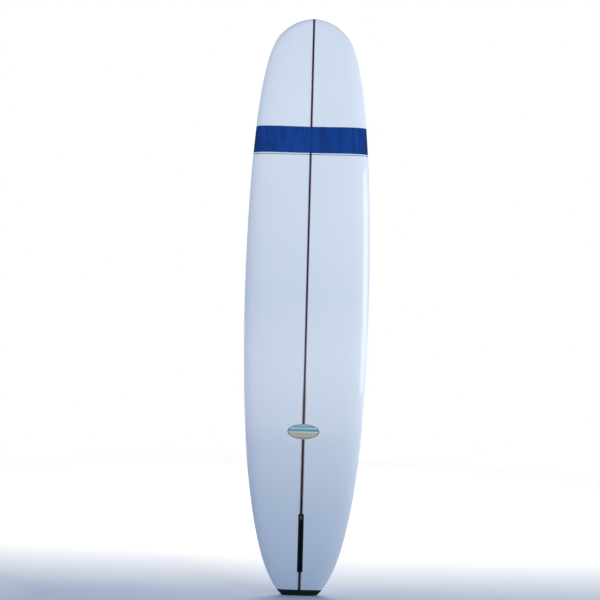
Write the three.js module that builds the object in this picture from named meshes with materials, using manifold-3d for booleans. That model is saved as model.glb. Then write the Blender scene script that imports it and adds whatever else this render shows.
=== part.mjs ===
// A nine-foot longboard surfboard, standing on its tail with the bottom facing -Y.
// +Z runs from tail to nose, +Y points out of the deck, and +X is to the right as the bottom is seen.
// The origin is the middle of the flat end face of the tail block. All lengths are in millimetres.

import * as THREE from "three";
import { mergeVertices } from "three/addons/utils/BufferGeometryUtils.js";
import Module from "manifold-3d";

const wasm = await Module();
wasm.setup();

// ---------------------------------------------------------------- driving dimensions

const LENGTH = 2743;
const GAP = 0.3; // between neighbouring pieces
const REACH = 8; // how far a cutting shape runs past the face it cuts

// Plan shape: half-widths and heights of the points that shape the outline.
const HALF_TAIL = 81;
const HALF_WIDE = 290.7;
const WIDE_Z = 1374;
const HALF_SHOULDER = 176;
const SHOULDER_Z = 2634;

// Side view: how far the bottom lifts at each end, and the foil of the thickness.
const LOW_Z = 1250; // where the bottom is lowest
const NOSE_ROCKER = 110;
const NOSE_ROCKER_POWER = 2.5;
const TAIL_ROCKER = 71;
const TAIL_ROCKER_POWER = 2.3;
const THICK_Z = 1350;
const THICKNESS = 70;
const NOSE_THICKNESS = 20;
const NOSE_FOIL_POWER = 2.7;
const TAIL_THICKNESS = 24;
const TAIL_FOIL_POWER = 3;
const NOSE_ROUND = 42; // length over which the nose closes in side view
const NOSE_ROUND_POWER = 2.2;

// Cross-section: a superellipse below the rail's apex and another above it.
const APEX_SHARE = 0.47; // height of the rail's apex, as a share of the thickness
const TIP_POWER = 2;
const BOTTOM_FLATNESS = 6; // added to TIP_POWER at full width
const DECK_FLATNESS = 0.8;
const CONCAVE_DEPTH = 6; // of the nose concave
const CONCAVE_Z = 2180;
const CONCAVE_REACH = 420; // towards each end
const CONCAVE_WIDTH = 0.72; // share of the half-width

// Layers, measured inwards from the finished surface.
const GLASS = 1.2;
const PATCH = 0.6;
const INLAY = 0.5; // pigmented resin, level with the glass
const THIN_WIDTH = 20; // below these sizes, at the tip of the nose, an inset shrinks in proportion
const THIN_DEPTH = 6;
const FOAM_INSET = GLASS + GAP;
const PATCH_INSET = GLASS + GAP;
const LAP_SHARE = 0.86; // of the half-width: the bottom's laminate folds round the rail to here on the deck
const LAP_NOSE = 150; // length over which the laps close round the nose

const STRINGER_WIDTH = 8;
const GLUE_WIDTH = 1;
const PLANK_GAP = 0.2; // between stringer, glue and foam

const BLOCK_TOP = 28;
const BODY_START = BLOCK_TOP + GAP;

const BAND = { from: 2065, to: 2194 };
const PINLINE = { from: 2056.5, to: 2059.5 };
const PATCH_END = 1180;

const BADGE = { z: 762, halfWidth: 75, halfHeight: 35 };

// Fin box, in its own frame: local -Y points out of the bottom, local +Z towards the nose.
const BOX_LENGTH = 273;
const BOX_WIDTH = 25.4;
const BOX_MIDDLE = 246.5;
const BOX_FLANGE = 3;
const BOX_BODY_WIDTH = 19;
const BOX_DEPTH = 27;
const SLOT_LENGTH = 255;
const SLOT_WIDTH = 9.5;
const SLOT_DEPTH = 23;
const CHANNEL_WIDTH = 13.5;
const CHANNEL_TOP = 5;
const CHANNEL_HEIGHT = 3.6;
const NOTCH_LENGTH = 14;
const NOTCH_MIDDLE = 12;

const PLATE_LENGTH = 19;
const PLATE_THICKNESS = 3;
const PLATE_MIDDLE = 117; // from the middle of the box, towards the nose
const SCREW_DIAMETER = 4;
const SCREW_LENGTH = 16; // below the head
const SCREW_HEAD = 7.4;
const SCREW_HEAD_HEIGHT = 2.5;
const CROSS_WIDTH = 1.1;
const CROSS_LENGTH = 4.6;
const CROSS_DEPTH = 1.3;

// Leash plug, let into the deck beside the stringer.
const PLUG_X = 34;
const PLUG_Z = 140;
const PLUG_FLANGE = 30;
const PLUG_FLANGE_HEIGHT = 2;
const PLUG_DIAMETER = 26;
const PLUG_BORE = 20;
const PLUG_HEIGHT = 17;
const PLUG_FLOOR = 3.5;
const PLUG_PROUD = 0.6;
const PIN_DIAMETER = 4;
const PIN_LENGTH = 24;
const PIN_DEPTH = 5;

// Sampling.
const STATIONS = 34;
const NOSE_STEPS = [12, 3.5]; // last sections, measured back from the nose
const RAIL_STEPS = 6; // across half a section
const ROUND_STEPS = 24;

// ---------------------------------------------------------------- shape of the board

const outline = [
  [HALF_TAIL, 0, 252, 154, HALF_WIDE, 818, HALF_WIDE, WIDE_Z],
  [HALF_WIDE, WIDE_Z, HALF_WIDE, 1852, 267, 2474, HALF_SHOULDER, SHOULDER_Z],
  [HALF_SHOULDER, SHOULDER_Z, 132, 2712, 48, LENGTH, 0, LENGTH],
].map((p) => new THREE.CubicBezierCurve(
  new THREE.Vector2(p[0], p[1]),
  new THREE.Vector2(p[2], p[3]),
  new THREE.Vector2(p[4], p[5]),
  new THREE.Vector2(p[6], p[7]),
));

// Half-width at height z. Every curve of the outline rises with z, so halving finds its parameter.
function halfWidth(z) {
  const curve = outline.find((c) => z <= c.v3.y) ?? outline[outline.length - 1];
  let low = 0;
  let high = 1;
  for (let i = 0; i < 40; i++) {
    const middle = (low + high) / 2;
    if (curve.getPoint(middle).y < z) low = middle;
    else high = middle;
  }
  return curve.getPoint((low + high) / 2).x;
}

function rocker(z) {
  if (z > LOW_Z) return NOSE_ROCKER * ((z - LOW_Z) / (LENGTH - LOW_Z)) ** NOSE_ROCKER_POWER;
  return TAIL_ROCKER * ((LOW_Z - z) / LOW_Z) ** TAIL_ROCKER_POWER;
}

// The bottom's centre line, so that the origin is at mid-thickness of the tail.
function bottomLine(z) {
  return rocker(z) - TAIL_ROCKER - TAIL_THICKNESS / 2;
}

function thickness(z) {
  if (z > THICK_Z) {
    const u = (z - THICK_Z) / (LENGTH - THICK_Z);
    return THICKNESS - (THICKNESS - NOSE_THICKNESS) * u ** NOSE_FOIL_POWER;
  }
  const u = (THICK_Z - z) / THICK_Z;
  return THICKNESS - (THICKNESS - TAIL_THICKNESS) * u ** TAIL_FOIL_POWER;
}

function noseClosing(z) {
  const u = Math.max(0, (z - LENGTH + NOSE_ROUND) / NOSE_ROUND);
  return Math.max(0, 1 - u ** NOSE_ROUND_POWER) ** (1 / NOSE_ROUND_POWER);
}

function concave(z, share) {
  const along = (z - CONCAVE_Z) / CONCAVE_REACH;
  const across = share / CONCAVE_WIDTH;
  if (Math.abs(along) >= 1 || Math.abs(across) >= 1) return 0;
  return CONCAVE_DEPTH * (1 - along ** 2) ** 2 * (1 - across ** 2) ** 2;
}

// Everything a section needs at height z, for the surface that lies inset inside the finished one.
function section(z, inset) {
  const width = halfWidth(z);
  const closing = noseClosing(z);
  const fullness = width / HALF_WIDE;
  const shrink = (size, reach) => size - inset * Math.min(1, size / reach);
  return {
    z: z - (inset * z) / LENGTH,
    width: shrink(width, THIN_WIDTH),
    apex: bottomLine(z) + APEX_SHARE * thickness(z),
    below: shrink(APEX_SHARE * thickness(z) * closing, THIN_DEPTH),
    above: shrink((1 - APEX_SHARE) * thickness(z) * closing, THIN_DEPTH),
    bottomPower: TIP_POWER + BOTTOM_FLATNESS * fullness,
    deckPower: TIP_POWER + DECK_FLATNESS * fullness,
    hollow: (share) => concave(z, share),
  };
}

function bottomY(s, share) {
  const drop = Math.sqrt(Math.max(0, 1 - share ** s.bottomPower));
  return s.apex - s.below * drop + s.hollow(share);
}

function deckY(s, share) {
  return s.apex + s.above * Math.sqrt(Math.max(0, 1 - share ** s.deckPower));
}

const LAP_TOP = LENGTH - NOSE_STEPS[0]; // the deck's laminate ends here

// Heights of the sections, closer together towards both ends.
const stations = [];
for (let i = 0; i <= STATIONS; i++) {
  const z = (LENGTH * (1 - Math.cos((Math.PI * i) / STATIONS))) / 2;
  if (z < LENGTH - NOSE_STEPS[0] - 4) stations.push(z);
}
stations.push(...NOSE_STEPS.map((step) => LENGTH - step));

function stationsBetween(from, to) {
  const inner = stations.filter((z) => z > from + 6 && z < to - 3);
  return [from, ...inner, to];
}

// ---------------------------------------------------------------- meshes from loops of points

// Skins a row of equal loops and closes both ends by joining each point to its partner from the other end
// of the loop. Each four-sided face is split from its corner nearest the centre line, so that neighbouring
// layers are faceted alike. Faces that collapse to a line are left out.
function loft(loops) {
  const size = loops[0].length;
  const positions = loops.flat(2);
  const index = [];
  const point = (ring, i) => ring * size + (i % size);
  const fromCentre = (v) => Math.abs(positions[v * 3]);
  const key = (v) => positions.slice(v * 3, v * 3 + 3).map((c) => c.toFixed(3)).join(" ");
  const face = (a, b, c) => {
    if (key(a) !== key(b) && key(b) !== key(c) && key(c) !== key(a)) index.push(a, b, c);
  };
  for (let ring = 0; ring + 1 < loops.length; ring++) {
    for (let i = 0; i < size; i++) {
      const [a, b] = [point(ring, i), point(ring, i + 1)];
      const [c, d] = [point(ring + 1, i), point(ring + 1, i + 1)];
      if (fromCentre(a) <= fromCentre(b)) {
        face(a, b, d);
        face(a, d, c);
      } else {
        face(a, b, c);
        face(b, d, c);
      }
    }
  }
  const last = loops.length - 1;
  for (let i = 0; i + 1 < size / 2; i++) {
    const j = size - 1 - i;
    face(point(0, i), point(0, j), point(0, j - 1));
    face(point(0, i), point(0, j - 1), point(0, i + 1));
    face(point(last, i), point(last, j - 1), point(last, j));
    face(point(last, i), point(last, i + 1), point(last, j - 1));
  }
  return geometryOf(positions, index);
}

function geometryOf(positions, index) {
  const geometry = new THREE.BufferGeometry();
  geometry.setAttribute("position", new THREE.Float32BufferAttribute(positions, 3));
  geometry.setIndex(index);
  return geometry;
}

// Shares of the half-width from the centre line to the rail, closer together at the rail.
const shares = [];
for (let i = 0; i <= RAIL_STEPS; i++) shares.push(1 - (1 - i / RAIL_STEPS) ** 2);

// Both halves of a section line, given the right half as [x, surface] pairs from the centre line outwards.
function mirrored(s, half) {
  const at = (side) => half.map(([x, surfaceY]) => [side * x, surfaceY(s, s.width ? x / s.width : 1), s.z]);
  return [...at(-1).slice(1).reverse(), ...at(1)];
}

// One surface at height z, from the left edge (-X) to the right one, no further out than reach.
function arc(z, inset, surfaceY, reach = Infinity) {
  const s = section(z, inset);
  return mirrored(s, shares.map((share) => [Math.min(share * s.width, reach), surfaceY]));
}

// Where the laps end on the deck. Round the nose they meet at the centre line.
function lapEdge(z) {
  const u = Math.min(1, Math.max(0, (z - LAP_TOP + LAP_NOSE) / LAP_NOSE));
  return LAP_SHARE * Math.sqrt(1 - u * u) * halfWidth(z);
}

// The bottom at height z with both laps, from the left lap's edge round to the right one's.
function wrappedArc(z, inset) {
  const s = section(z, inset);
  const edge = Math.max(lapEdge(z), GAP / 2);
  const bottom = shares.map((share) => [share * s.width, bottomY]);
  const lapX = (share) => Math.min(s.width, Math.max(share * s.width, edge));
  const lap = shares.slice(0, -1).map((share) => [lapX(share), deckY]);
  return mirrored(s, [...bottom, ...lap.reverse()]);
}

// A layer of the bottom, laps included. The outer inset may change from one height to the next.
function bottomLayer(heights, outerInset, innerInset) {
  return loft(heights.map(({ z, sunk }) => (
    [...wrappedArc(z, outerInset(sunk)), ...wrappedArc(z, innerInset).reverse()]
  )));
}

// A layer of the deck, kept clear of the laps by a margin.
function deckLayer(heights, outerInset, innerInset, margin = GAP) {
  return loft(heights.map(({ z, sunk }) => {
    const reach = Math.max(0, lapEdge(z) - margin);
    const outer = arc(z, outerInset(sunk), deckY, reach);
    return [...arc(z, innerInset, deckY, reach), ...outer.reverse()];
  }));
}

const plainHeights = (from, to) => stationsBetween(from, to).map((z) => ({ z, sunk: false }));

// A half section between x = start and the rail on one side of the board.
function halfLoft(side, start, heights, inset) {
  const loops = heights.map((z) => {
    const s = section(z, inset);
    const points = (surfaceY) => shares.map((share) => {
      const x = Math.max(start, share * s.width);
      return [side * x, surfaceY(s, x / s.width), s.z];
    });
    const loop = [...points(bottomY), ...points(deckY).reverse().slice(1)];
    return side > 0 ? loop : loop.reverse();
  });
  return loft(loops);
}

// An upright plank between two x positions that follows the bottom and the deck.
function plank(x0, x1, heights, inset) {
  const loops = heights.map((z) => {
    const s = section(z, inset);
    const low = (x) => [x, bottomY(s, Math.abs(x) / s.width), s.z];
    const high = (x) => [x, deckY(s, Math.abs(x) / s.width), s.z];
    return [low(x0), low(x1), high(x1), high(x0)];
  });
  return loft(loops);
}

// ---------------------------------------------------------------- booleans

function solid(geometry) {
  const bare = geometry.clone();
  bare.deleteAttribute("normal");
  bare.deleteAttribute("uv");
  const merged = mergeVertices(bare, 1e-3);
  return new wasm.Manifold(new wasm.Mesh({
    numProp: 3,
    vertProperties: merged.attributes.position.array,
    triVerts: new Uint32Array(merged.index.array),
  }));
}

function fromSolid(made) {
  const mesh = made.getMesh();
  return geometryOf(mesh.vertProperties, [...mesh.triVerts]);
}

function cut(body, ...tools) {
  return fromSolid(tools.reduce((left, tool) => left.subtract(solid(tool)), solid(body)));
}

function join(...bodies) {
  return fromSolid(bodies.map(solid).reduce((all, next) => all.add(next)));
}

function overlap(a, b) {
  return fromSolid(solid(a).intersect(solid(b)));
}

// ---------------------------------------------------------------- frames of the fittings

// The box lies along the chord of the bottom under it, halfway between the chord and the bulge.
const boxEnds = [BOX_MIDDLE - BOX_LENGTH / 2, BOX_MIDDLE + BOX_LENGTH / 2];
const boxTilt = Math.atan2(bottomLine(boxEnds[0]) - bottomLine(boxEnds[1]), BOX_LENGTH);
const chordY = (bottomLine(boxEnds[0]) + bottomLine(boxEnds[1])) / 2;
const boxFrame = new THREE.Group();
boxFrame.position.set(0, (chordY + bottomLine(BOX_MIDDLE)) / 2, BOX_MIDDLE);
boxFrame.rotation.x = boxTilt;
boxFrame.updateMatrixWorld(true);

const plugFrame = new THREE.Group();
const plugSection = section(PLUG_Z, 0);
const plugFace = deckY(plugSection, PLUG_X / plugSection.width) + PLUG_PROUD;
plugFrame.position.set(PLUG_X, plugFace, PLUG_Z);
plugFrame.updateMatrixWorld(true);

// A box from depth 'from' to depth 'to' below the face of the fin box.
function boxBlock(width, length, from, to, middle = 0) {
  return new THREE.BoxGeometry(width, to - from, length).translate(0, (from + to) / 2, middle);
}

// A cylinder along Y between two depths below the face of a fitting; sign is +1 for the fin box.
function post(radius, from, to, sign, middle = 0) {
  const shape = new THREE.CylinderGeometry(radius, radius, to - from, ROUND_STEPS);
  return shape.translate(0, (sign * (from + to)) / 2, middle);
}

// Pockets for the fin box and the leash plug, GAP larger than the fittings all round.
function boxPocket() {
  const flange = boxBlock(BOX_WIDTH + 2 * GAP, BOX_LENGTH + 2 * GAP, -REACH, BOX_FLANGE + GAP);
  const body = boxBlock(BOX_BODY_WIDTH + 2 * GAP, BOX_LENGTH + 2 * GAP, 0, BOX_DEPTH + GAP);
  return join(flange, body).applyMatrix4(boxFrame.matrixWorld);
}

function plugPocket() {
  const flange = post(PLUG_FLANGE / 2 + GAP, -REACH, PLUG_FLANGE_HEIGHT + GAP, -1);
  const body = post(PLUG_DIAMETER / 2 + GAP, 0, PLUG_HEIGHT + GAP, -1);
  return join(flange, body).applyMatrix4(plugFrame.matrixWorld);
}

// ---------------------------------------------------------------- core

const plankHeights = stationsBetween(BODY_START, LENGTH - NOSE_STEPS[0]);
const boxHole = boxPocket();
const plugHole = plugPocket();
const glueStart = STRINGER_WIDTH / 2 + PLANK_GAP;
const foamStart = glueStart + GLUE_WIDTH + PLANK_GAP;

function foam(side) {
  const blank = halfLoft(side, foamStart, plankHeights, FOAM_INSET);
  return side > 0 ? cut(blank, boxHole, plugHole, patchBed()) : cut(blank, boxHole, patchBed());
}

function stringer() {
  const board = plank(-STRINGER_WIDTH / 2, STRINGER_WIDTH / 2, plankHeights, FOAM_INSET);
  return cut(board, boxHole, patchBed());
}

function glueLine(side) {
  const xs = [side * glueStart, side * (glueStart + GLUE_WIDTH)].sort((a, b) => a - b);
  return cut(plank(...xs, plankHeights, FOAM_INSET), boxHole, patchBed());
}

// ---------------------------------------------------------------- glassing

// Extra cloth on the tail half of the deck, let into the foam.
function patchBed() {
  return deckLayer(plainHeights(BODY_START - 1, PATCH_END + GAP), () => 0, PATCH_INSET + PATCH + GAP, 0);
}

function deckPatch() {
  const sheet = deckLayer(plainHeights(BODY_START, PATCH_END), () => PATCH_INSET, PATCH_INSET + PATCH);
  return cut(sheet, plugHole);
}

// Heights of a glass layer that is sunk under each inlay. A step has both its walls at one height.
function groovedHeights(top) {
  const steps = [PINLINE, BAND].flatMap(({ from, to }) => [from - GAP, to + GAP]);
  const ends = [BODY_START, ...steps, top];
  const heights = [];
  for (let i = 0; i + 1 < ends.length; i++) {
    const sunk = i % 2 === 1;
    stationsBetween(ends[i], ends[i + 1]).forEach((z) => heights.push({ z, sunk }));
  }
  return heights;
}

const grooveInset = (sunk) => (sunk ? INLAY + GAP : 0);

function bottomGlass() {
  const skin = bottomLayer(groovedHeights(LENGTH), grooveInset, GLASS);
  return cut(skin, boxHole, badgeShape(GAP, -1, INLAY + GAP));
}

function deckGlass() {
  return cut(deckLayer(groovedHeights(LAP_TOP), grooveInset, GLASS), plugHole);
}

function inlay({ from, to }, layer) {
  return layer(plainHeights(from, to), () => 0, INLAY);
}

// An oval of the bottom layer; grow widens it all round.
function badgeShape(grow, outerInset, innerInset) {
  const [from, to] = [-1, 1].map((side) => BADGE.z + side * (BADGE.halfHeight + REACH));
  const sheet = bottomLayer(plainHeights(from, to), () => outerInset, innerInset);
  const oval = new THREE.Shape().absellipse(
    0, 0, BADGE.halfWidth + grow, BADGE.halfHeight + grow, 0, 2 * Math.PI, false, 0,
  );
  const options = { depth: APEX_SHARE * THICKNESS, bevelEnabled: false, curveSegments: ROUND_STEPS };
  const prism = new THREE.ExtrudeGeometry(oval, options);
  prism.rotateX(Math.PI / 2).translate(0, bottomLine(BADGE.z) + options.depth / 2, BADGE.z);
  return overlap(sheet, prism);
}

// ---------------------------------------------------------------- tail block

function tailBlock() {
  return loft(stationsBetween(0, BLOCK_TOP).map((z) => (
    [...arc(z, 0, bottomY), ...arc(z, 0, deckY).reverse()]
  )));
}

// ---------------------------------------------------------------- fin box and its hardware

function finBox() {
  const flange = boxBlock(BOX_WIDTH, BOX_LENGTH, 0, BOX_FLANGE);
  const body = boxBlock(BOX_BODY_WIDTH, BOX_LENGTH, BOX_FLANGE / 2, BOX_DEPTH);
  const slot = boxBlock(SLOT_WIDTH, SLOT_LENGTH, -REACH, SLOT_DEPTH);
  const channelEnd = CHANNEL_TOP + CHANNEL_HEIGHT;
  const channel = boxBlock(CHANNEL_WIDTH, SLOT_LENGTH, CHANNEL_TOP, channelEnd);
  const notch = boxBlock(CHANNEL_WIDTH, NOTCH_LENGTH, -REACH, channelEnd, NOTCH_MIDDLE);
  return cut(join(flange, body), slot, channel, notch);
}

function finPlate() {
  const from = CHANNEL_TOP + GAP;
  const plate = boxBlock(CHANNEL_WIDTH - 2 * GAP, PLATE_LENGTH, from, from + PLATE_THICKNESS, PLATE_MIDDLE);
  return cut(plate, post(SCREW_DIAMETER / 2 + GAP, 0, SLOT_DEPTH, 1, PLATE_MIDDLE));
}

function finScrew() {
  const headTop = CHANNEL_TOP - SCREW_HEAD_HEIGHT;
  const head = post(SCREW_HEAD / 2, headTop, CHANNEL_TOP, 1, PLATE_MIDDLE);
  const shank = post(SCREW_DIAMETER / 2, headTop + CROSS_DEPTH, CHANNEL_TOP + SCREW_LENGTH, 1, PLATE_MIDDLE);
  const slots = [[CROSS_WIDTH, CROSS_LENGTH], [CROSS_LENGTH, CROSS_WIDTH]].map(([width, length]) => (
    boxBlock(width, length, headTop - REACH, headTop + CROSS_DEPTH, PLATE_MIDDLE)
  ));
  return cut(join(head, shank), ...slots);
}

// ---------------------------------------------------------------- leash plug

function plugCup() {
  const flange = post(PLUG_FLANGE / 2, 0, PLUG_FLANGE_HEIGHT, -1);
  const body = post(PLUG_DIAMETER / 2, PLUG_FLANGE_HEIGHT / 2, PLUG_HEIGHT, -1);
  const bore = post(PLUG_BORE / 2, -REACH, PLUG_HEIGHT - PLUG_FLOOR, -1);
  return cut(join(flange, body), bore, pinRod(PIN_DIAMETER / 2 + GAP, PIN_LENGTH + 2 * GAP));
}

function pinRod(radius, length) {
  return new THREE.CylinderGeometry(radius, radius, length, ROUND_STEPS)
    .rotateZ(Math.PI / 2)
    .translate(0, -PIN_DEPTH, 0);
}

// ---------------------------------------------------------------- the part

const looks = {
  foam: { color: 0xdfe6f0, roughness: 0.85, metalness: 0 },
  wood: { color: 0x2c1b16, roughness: 0.6, metalness: 0 },
  glue: { color: 0x7a4a4e, roughness: 0.5, metalness: 0 },
  glass: { color: 0xccdaee, roughness: 0.12, metalness: 0 },
  cloth: { color: 0xd6e0ee, roughness: 0.4, metalness: 0 },
  band: { color: 0x1f448d, roughness: 0.12, metalness: 0 },
  pinline: { color: 0x1a3a7c, roughness: 0.12, metalness: 0 },
  badge: { color: 0x3f8f9c, roughness: 0.3, metalness: 0 },
  plastic: { color: 0x0c1216, roughness: 0.45, metalness: 0 },
  resin: { color: 0x0d1218, roughness: 0.2, metalness: 0 },
  steel: { color: 0xb9bdc0, roughness: 0.3, metalness: 1 },
};

const part = new THREE.Group();
part.add(boxFrame, plugFrame);

function add(parent, name, geometry, look) {
  const mesh = new THREE.Mesh(geometry, new THREE.MeshStandardMaterial(looks[look]));
  mesh.name = name;
  parent.add(mesh);
}

add(part, "foam_left", foam(-1), "foam");
add(part, "foam_right", foam(1), "foam");
add(part, "stringer", stringer(), "wood");
add(part, "glue_line_left", glueLine(-1), "glue");
add(part, "glue_line_right", glueLine(1), "glue");
add(part, "deck_patch", deckPatch(), "cloth");
add(part, "bottom_glass", bottomGlass(), "glass");
add(part, "deck_glass", deckGlass(), "glass");
add(part, "color_band_bottom", inlay(BAND, bottomLayer), "band");
add(part, "color_band_deck", inlay(BAND, deckLayer), "band");
add(part, "pinline_bottom", inlay(PINLINE, bottomLayer), "pinline");
add(part, "pinline_deck", inlay(PINLINE, deckLayer), "pinline");
add(part, "badge", badgeShape(0, 0, INLAY), "badge");
add(part, "tail_block", tailBlock(), "resin");
add(boxFrame, "fin_box", finBox(), "plastic");
add(boxFrame, "fin_plate", finPlate(), "steel");
add(boxFrame, "fin_screw", finScrew(), "steel");
add(plugFrame, "leash_plug_cup", plugCup(), "plastic");
add(plugFrame, "leash_plug_pin", pinRod(PIN_DIAMETER / 2, PIN_LENGTH), "steel");

export default part;
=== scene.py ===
"""A longboard surfboard standing on its tail: fine shapes, materials, light and camera.

The board's shape is given by the same formulas as in the CAD source, here in millimetres as well.
+Z runs from tail to nose, +Y points out of the deck, and +X is to the right as the bottom is seen.
"""

import math

import bmesh
import bpy
import numpy as np
from mathutils import Matrix, Vector


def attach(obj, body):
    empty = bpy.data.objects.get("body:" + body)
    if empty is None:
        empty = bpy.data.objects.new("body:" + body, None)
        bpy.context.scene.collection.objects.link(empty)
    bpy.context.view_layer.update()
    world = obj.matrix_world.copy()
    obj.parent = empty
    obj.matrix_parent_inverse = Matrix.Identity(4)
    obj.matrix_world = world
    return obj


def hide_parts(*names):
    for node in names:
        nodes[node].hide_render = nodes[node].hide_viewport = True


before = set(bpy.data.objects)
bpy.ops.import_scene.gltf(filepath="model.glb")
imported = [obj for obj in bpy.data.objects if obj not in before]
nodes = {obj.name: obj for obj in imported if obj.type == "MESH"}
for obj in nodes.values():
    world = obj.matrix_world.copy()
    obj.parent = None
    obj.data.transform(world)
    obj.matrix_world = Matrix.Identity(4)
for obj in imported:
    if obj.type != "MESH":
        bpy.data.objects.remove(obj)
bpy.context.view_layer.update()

MM = 0.001

# ---------------------------------------------------------------- driving dimensions, in millimetres

LENGTH = 2743.0
HALF_WIDE = 290.7
OUTLINE = [  # cubic curves of half-width and height
    [(81, 0), (252, 154), (HALF_WIDE, 818), (HALF_WIDE, 1374)],
    [(HALF_WIDE, 1374), (HALF_WIDE, 1852), (267, 2474), (176, 2634)],
    [(176, 2634), (132, 2712), (48, LENGTH), (0, LENGTH)],
]

LOW_Z = 1250.0
NOSE_ROCKER, NOSE_ROCKER_POWER = 110.0, 2.5
TAIL_ROCKER, TAIL_ROCKER_POWER = 71.0, 2.3
THICK_Z, THICKNESS = 1350.0, 70.0
NOSE_THICKNESS, NOSE_FOIL_POWER = 20.0, 2.7
TAIL_THICKNESS, TAIL_FOIL_POWER = 24.0, 3.0
NOSE_ROUND, NOSE_ROUND_POWER = 42.0, 2.2

APEX_SHARE = 0.47
TIP_POWER = 2.0
BOTTOM_FLATNESS, DECK_FLATNESS = 6.0, 0.8
CONCAVE_DEPTH, CONCAVE_Z, CONCAVE_REACH, CONCAVE_WIDTH = 6.0, 2180.0, 420.0, 0.72

GLASS = 1.2
INLAY = 0.5
GROOVE = 0.55  # depth of the laminate's groove under an inlay
PATCH_FROM, PATCH_TO = 1.5, 2.1  # depths of the extra deck cloth
PATCH_END = 1180.0
THIN_WIDTH, THIN_DEPTH = 20.0, 6.0
TIP_HALF = 1e-6  # half-width left at the very tip of the nose
TIP_GAP = 0.01  # each side's distance from the middle there
LAP_SHARE, LAP_NOSE, LAP_TOP = 0.86, 150.0, LENGTH - 12

STRINGER_HALF = 4.0
GLUE_HALF = 5.2  # outer faces of the glue lines
SLOT_NARROWING = 0.2  # share of the half-width that the glue lines reach at most, near the nose
BLOCK_TOP = 28.0
BLOCK_ROUND = 2.5
BAND = (2065.0, 2194.0)
PINLINE = (2056.5, 2059.5)
BADGE_Z, BADGE_WIDE, BADGE_HIGH = 762.0, 75.0, 35.0

BOX_Z = 246.5  # middle of the fin box
BOX_HALF_LENGTH, BOX_HALF_WIDTH, BOX_CORNER = 136.5, 12.7, 3.0
BOX_FLANGE, BOX_DEPTH = 3.0, 27.6
PLATE_MIDDLE = 117.0  # from the middle of the box toward the nose

PLUG_X, PLUG_Z, PLUG_PROUD = 34.0, 140.0, 0.6
PLUG_RADIUS = 15.0

# ---------------------------------------------------------------- camera

camera = bpy.data.objects.new("camera", bpy.data.cameras.new("camera"))
bpy.context.scene.collection.objects.link(camera)
bpy.context.scene.camera = camera
camera.data.sensor_width = 36
camera.data.lens = 51.65
camera.location = (0.0, -4.07, 1.16)
PITCH, PAN, ROLL = 3.0, 0.455, 1.54
turn = Matrix.Rotation(math.radians(PAN), 4, "Z") @ Matrix.Rotation(math.radians(90 + PITCH), 4, "X")
camera.rotation_mode = "QUATERNION"
camera.rotation_quaternion = (turn @ Matrix.Rotation(math.radians(ROLL), 4, "Z")).to_quaternion()

# ---------------------------------------------------------------- shape of the board


def bezier(corners, steps):
    t = np.linspace(0, 1, steps + 1)[:, None]
    a, b, c, d = (np.array(p, float) for p in corners)
    return a * (1 - t) ** 3 + 3 * b * (1 - t) ** 2 * t + 3 * c * (1 - t) * t**2 + d * t**3


outline = np.vstack([bezier(c, 4000) for c in OUTLINE])


def half_width(z):
    return np.maximum(np.interp(z, outline[:, 1], outline[:, 0]), TIP_HALF)


def rocker(z):
    nose = np.clip((z - LOW_Z) / (LENGTH - LOW_Z), 0, 1)
    tail = np.clip((LOW_Z - z) / LOW_Z, 0, 1)
    return NOSE_ROCKER * nose**NOSE_ROCKER_POWER + TAIL_ROCKER * tail**TAIL_ROCKER_POWER


def bottom_line(z):
    return rocker(z) - TAIL_ROCKER - TAIL_THICKNESS / 2


def thickness(z):
    nose = np.clip((z - THICK_Z) / (LENGTH - THICK_Z), 0, 1)
    tail = np.clip((THICK_Z - z) / THICK_Z, 0, 1)
    less = (THICKNESS - NOSE_THICKNESS) * nose**NOSE_FOIL_POWER
    return THICKNESS - less - (THICKNESS - TAIL_THICKNESS) * tail**TAIL_FOIL_POWER


def nose_closing(z):
    u = np.clip((z - LENGTH + NOSE_ROUND) / NOSE_ROUND, 0, 1)
    return np.maximum(0, 1 - u**NOSE_ROUND_POWER) ** (1 / NOSE_ROUND_POWER)


def concave(z, share):
    along = np.clip(np.abs(z - CONCAVE_Z) / CONCAVE_REACH, 0, 1)
    across = np.clip(np.abs(share) / CONCAVE_WIDTH, 0, 1)
    return CONCAVE_DEPTH * (1 - along**2) ** 2 * (1 - across**2) ** 2


def powers(z):
    fullness = half_width(z) / HALF_WIDE
    return TIP_POWER + BOTTOM_FLATNESS * fullness, TIP_POWER + DECK_FLATNESS * fullness


def surface(share, z, deck, inset=0.0):
    """Points on the surface that lies inset inside the finished one. share is x over the half-width."""
    share, z = np.asarray(share, float), np.asarray(z, float)
    inset = np.broadcast_to(np.asarray(inset, float), z.shape)
    closing, thick = nose_closing(z), thickness(z)
    bottom_power, deck_power = powers(z)

    def shrink(size, reach):
        return size - inset * np.minimum(1, size / reach)

    width = shrink(half_width(z), THIN_WIDTH)
    apex = bottom_line(z) + APEX_SHARE * thick
    below = shrink(APEX_SHARE * thick * closing, THIN_DEPTH)
    above = shrink((1 - APEX_SHARE) * thick * closing, THIN_DEPTH)
    size = np.clip(np.abs(share), 0, 1)
    low = apex - below * np.sqrt(1 - size**bottom_power) + concave(z, share)
    high = apex + above * np.sqrt(1 - size**deck_power)
    return np.stack([share * width, np.where(deck, high, low), z - inset * z / LENGTH], -1)


def slot_edge(z):
    return np.minimum(GLUE_HALF, SLOT_NARROWING * half_width(z))


def lap_edge(z):
    u = np.clip((z - LAP_TOP + LAP_NOSE) / LAP_NOSE, 0, 1)
    return LAP_SHARE * np.sqrt(1 - u * u) * half_width(z)


# ---------------------------------------------------------------- places of the fittings

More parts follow.
